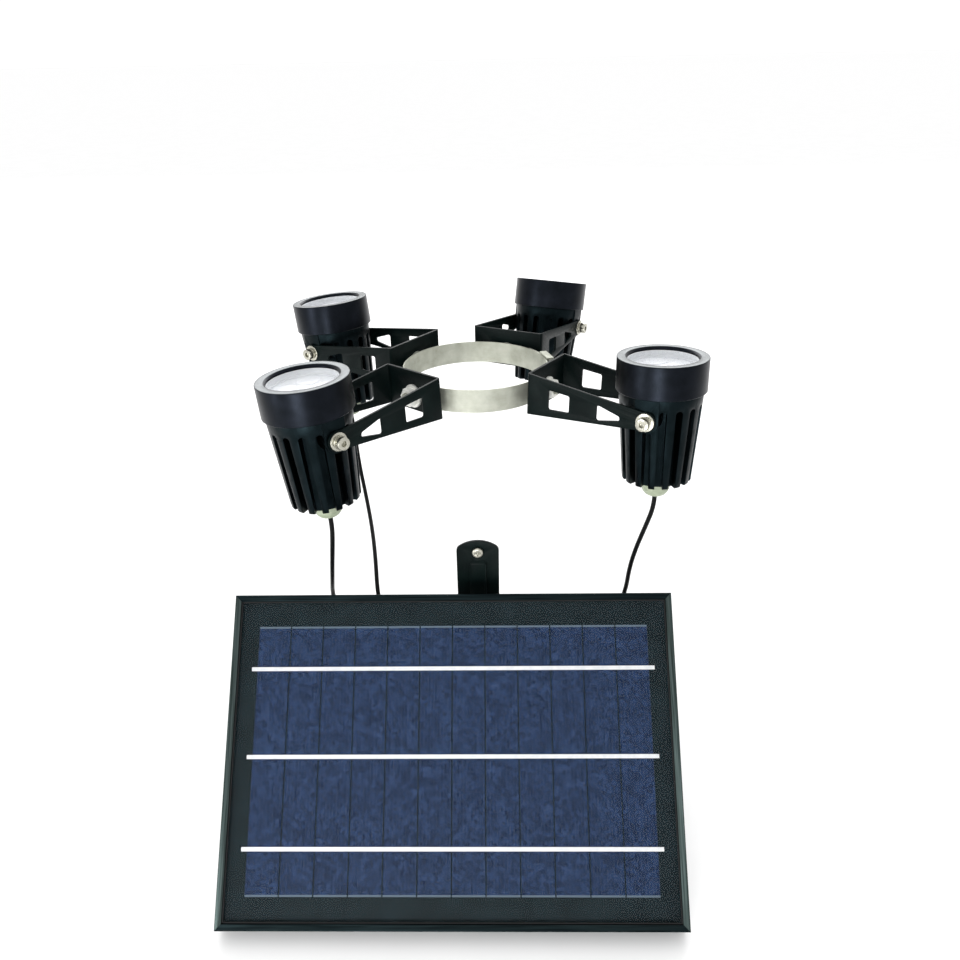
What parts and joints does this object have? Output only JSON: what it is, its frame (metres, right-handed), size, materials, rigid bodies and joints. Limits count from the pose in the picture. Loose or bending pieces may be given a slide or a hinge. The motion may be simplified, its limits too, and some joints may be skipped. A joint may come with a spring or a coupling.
{
  "type": "solar flagpole light",
  "caption": "Tilting spot lamps on windowed brackets round a steel clamp band, above a hinged solar panel with a battery box on its back, joined by thin cords.",
  "frame": {"origin": "on the clamp band's axis at its mid-height", "axes": "+Z along the band's axis, upwards; -Y towards the front, where the solar panel faces; +X to the right seen from the front"},
  "size_m": [0.2834, 0.3325, 0.3135],
  "materials": {
    "black_sheet": "satin powder coat",
    "stainless": "bright rolled and turned stainless steel",
    "head_black": "black anodised",
    "lens_glass": "clear",
    "optic": "clear moulded lenses",
    "gland": "moulded, pale grey green",
    "circuit": "solder resist",
    "led_board": "white solder resist",
    "frame": "black anodised",
    "panel_glass": "clear, slightly glossy",
    "backsheet": "dark sheet",
    "cells": "blue crystalline",
    "busbar": "tinned ribbon",
    "box_plastic": "fine grain",
    "cell_can": "shrink sleeve",
    "button_rubber": "matte",
    "cord": "satin jacket"
  },
  "bodies": {
    "mounting": {"clamp_band": "stainless", "clamp_housing": "stainless", "clamp_screw": "stainless", "base_nuts": "stainless", "mount_plate": "black_sheet", "mount_screws": "stainless", "hinge_bolt": "stainless", "cord_front_left_middle": "cord", "cord_back_left_middle": "cord", "cord_front_right_middle": "cord"},
    "bracket_front_left": {"bracket_front_left": "black_sheet", "cord_front_left_top": "cord"},
    "head_front_left": {"housing_front_left": "head_black", "bezel_front_left": "head_black", "lens_glass_front_left": "lens_glass", "led_board_front_left": "led_board", "optic_front_left": "optic", "gland_front_left": "gland", "pivot_screws_front_left": "stainless"},
    "bracket_front_right": {"bracket_front_right": "black_sheet", "cord_front_right_top": "cord"},
    "head_front_right": {"housing_front_right": "head_black", "bezel_front_right": "head_black", "lens_glass_front_right": "lens_glass", "led_board_front_right": "led_board", "optic_front_right": "optic", "gland_front_right": "gland", "pivot_screws_front_right": "stainless"},
    "bracket_back_left": {"bracket_back_left": "black_sheet", "cord_back_left_top": "cord"},
    "head_back_left": {"housing_back_left": "head_black", "bezel_back_left": "head_black", "lens_glass_back_left": "lens_glass", "led_board_back_left": "led_board", "optic_back_left": "optic", "gland_back_left": "gland", "pivot_screws_back_left": "stainless"},
    "bracket_back_right": {"bracket_back_right": "black_sheet"},
    "head_back_right": {"housing_back_right": "head_black", "bezel_back_right": "head_black", "lens_glass_back_right": "lens_glass", "led_board_back_right": "led_board", "optic_back_right": "optic", "gland_back_right": "gland", "pivot_screws_back_right": "stainless"},
    "panel": {"frame_side_rails": "frame", "frame_end_rails": "frame", "panel_glass": "panel_glass", "laminate": "backsheet", "cell_strips": "cells", "busbars": "busbar", "panel_crossbar": "black_sheet", "crossbar_screws": "stainless", "battery_box": "box_plastic", "battery_pack": "cell_can", "circuit_board": "circuit", "cord_front_left_bottom": "cord", "cord_back_left_bottom": "cord", "cord_front_right_bottom": "cord"},
    "button": {"power_button": "button_rubber"}
  },
  "joints": [
    {"name": "swivel_front_left", "type": "hinge", "parent": "mounting", "child": "bracket_front_left", "pos_m": [-0.03487, -0.0332, 0], "axis": [-0.7242, -0.6896, 0], "range_deg": [-48.8, 41.2], "deforming": ["cord_front_left_middle"]},
    {"name": "tilt_front_left", "type": "hinge", "parent": "bracket_front_left", "child": "head_front_left", "pos_m": [-0.08704, -0.08296, -0.0008], "axis": [0.6881, -0.7226, 0.0663], "range_deg": [-17.8, 87.2], "deforming": ["cord_front_left_top"]},
    {"name": "swivel_front_right", "type": "hinge", "parent": "mounting", "child": "bracket_front_right", "pos_m": [0.04219, -0.0232, 0], "axis": [0.8763, -0.4818, 0], "range_deg": [-41.8, 48.2], "deforming": ["cord_front_right_middle"]},
    {"name": "tilt_front_right", "type": "hinge", "parent": "bracket_front_right", "child": "head_front_right", "pos_m": [0.10535, -0.05797, -0.0008], "axis": [0.481, 0.8749, -0.0558], "range_deg": [-12.7, 92.3], "deforming": ["cord_front_right_top"]},
    {"name": "swivel_back_left", "type": "hinge", "parent": "mounting", "child": "bracket_back_left", "pos_m": [-0.03939, 0.02769, 0], "axis": [-0.8181, 0.575, 0], "range_deg": [-45, 45], "deforming": ["cord_back_left_middle"]},
    {"name": "tilt_back_left", "type": "hinge", "parent": "bracket_back_left", "child": "head_back_left", "pos_m": [-0.09838, 0.06914, -0.0008], "axis": [-0.575, -0.8181, 0], "range_deg": [-22.4, 82.6], "deforming": ["cord_back_left_top"]},
    {"name": "swivel_back_right", "type": "hinge", "parent": "mounting", "child": "bracket_back_right", "pos_m": [0.02027, 0.04367, 0], "axis": [0.421, 0.907, 0], "range_deg": [-45, 45]},
    {"name": "tilt_back_right", "type": "hinge", "parent": "bracket_back_right", "child": "head_back_right", "pos_m": [0.05063, 0.10907, -0.0008], "axis": [-0.907, 0.421, 0], "range_deg": [-29.9, 75.1]},
    {"name": "panel_tilt", "type": "hinge", "parent": "mounting", "child": "panel", "pos_m": [0, -0.06053, -0.16283], "axis": [1, 0, 0], "range_deg": [-5, 41], "deforming": ["cord_front_left_bottom", "cord_back_left_bottom", "cord_front_right_bottom"]},
    {"name": "button_press", "type": "slide", "parent": "panel", "child": "button", "axis": [0, -0.7501, 0.6613], "range_m": [0, 0.0015], "stiffness_N_per_m": 500, "springref_m": -0.001}
  ]
}
